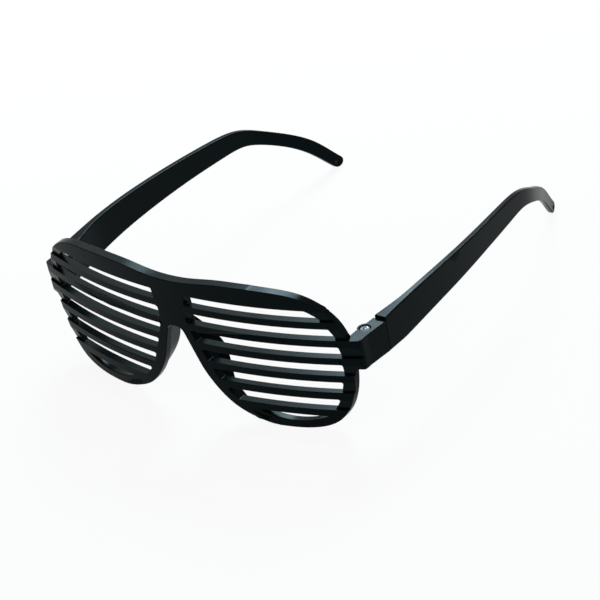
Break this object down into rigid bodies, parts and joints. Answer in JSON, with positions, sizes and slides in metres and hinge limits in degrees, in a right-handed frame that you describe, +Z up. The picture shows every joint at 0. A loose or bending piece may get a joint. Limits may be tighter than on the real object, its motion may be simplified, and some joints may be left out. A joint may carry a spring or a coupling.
{
  "type": "slatted novelty glasses",
  "caption": "Black novelty glasses with level slats in place of lenses, a curved front and two folding arms, each pinned by a screw.",
  "frame": {"origin": "on the table, under the middle of the bounding box, with the glasses open and standing on their rims and arm tips", "axes": "+X to the right of somebody who looks at the front, +Y back along the arms, +Z up from the table"},
  "size_m": [0.1472, 0.1684, 0.0593],
  "materials": {
    "moulded_plastic": "glossy black moulded plastic",
    "screw_steel": "bright plated steel"
  },
  "bodies": {
    "front": {"front_frame": "moulded_plastic", "hinge_screw_left": "screw_steel", "hinge_screw_right": "screw_steel"},
    "arm_left": {"temple_left": "moulded_plastic"},
    "arm_right": {"temple_right": "moulded_plastic"}
  },
  "joints": [
    {"name": "arm_right_fold", "type": "hinge", "parent": "front", "child": "arm_right", "pos_m": [0.069, -0.06156, 0.03309], "axis": [0, 0.0218, 0.9998], "range_deg": [0, 82]},
    {"name": "arm_left_fold", "type": "hinge", "parent": "front", "child": "arm_left", "pos_m": [-0.069, -0.06156, 0.03309], "axis": [0, -0.0218, -0.9998], "range_deg": [0, 55]}
  ]
}
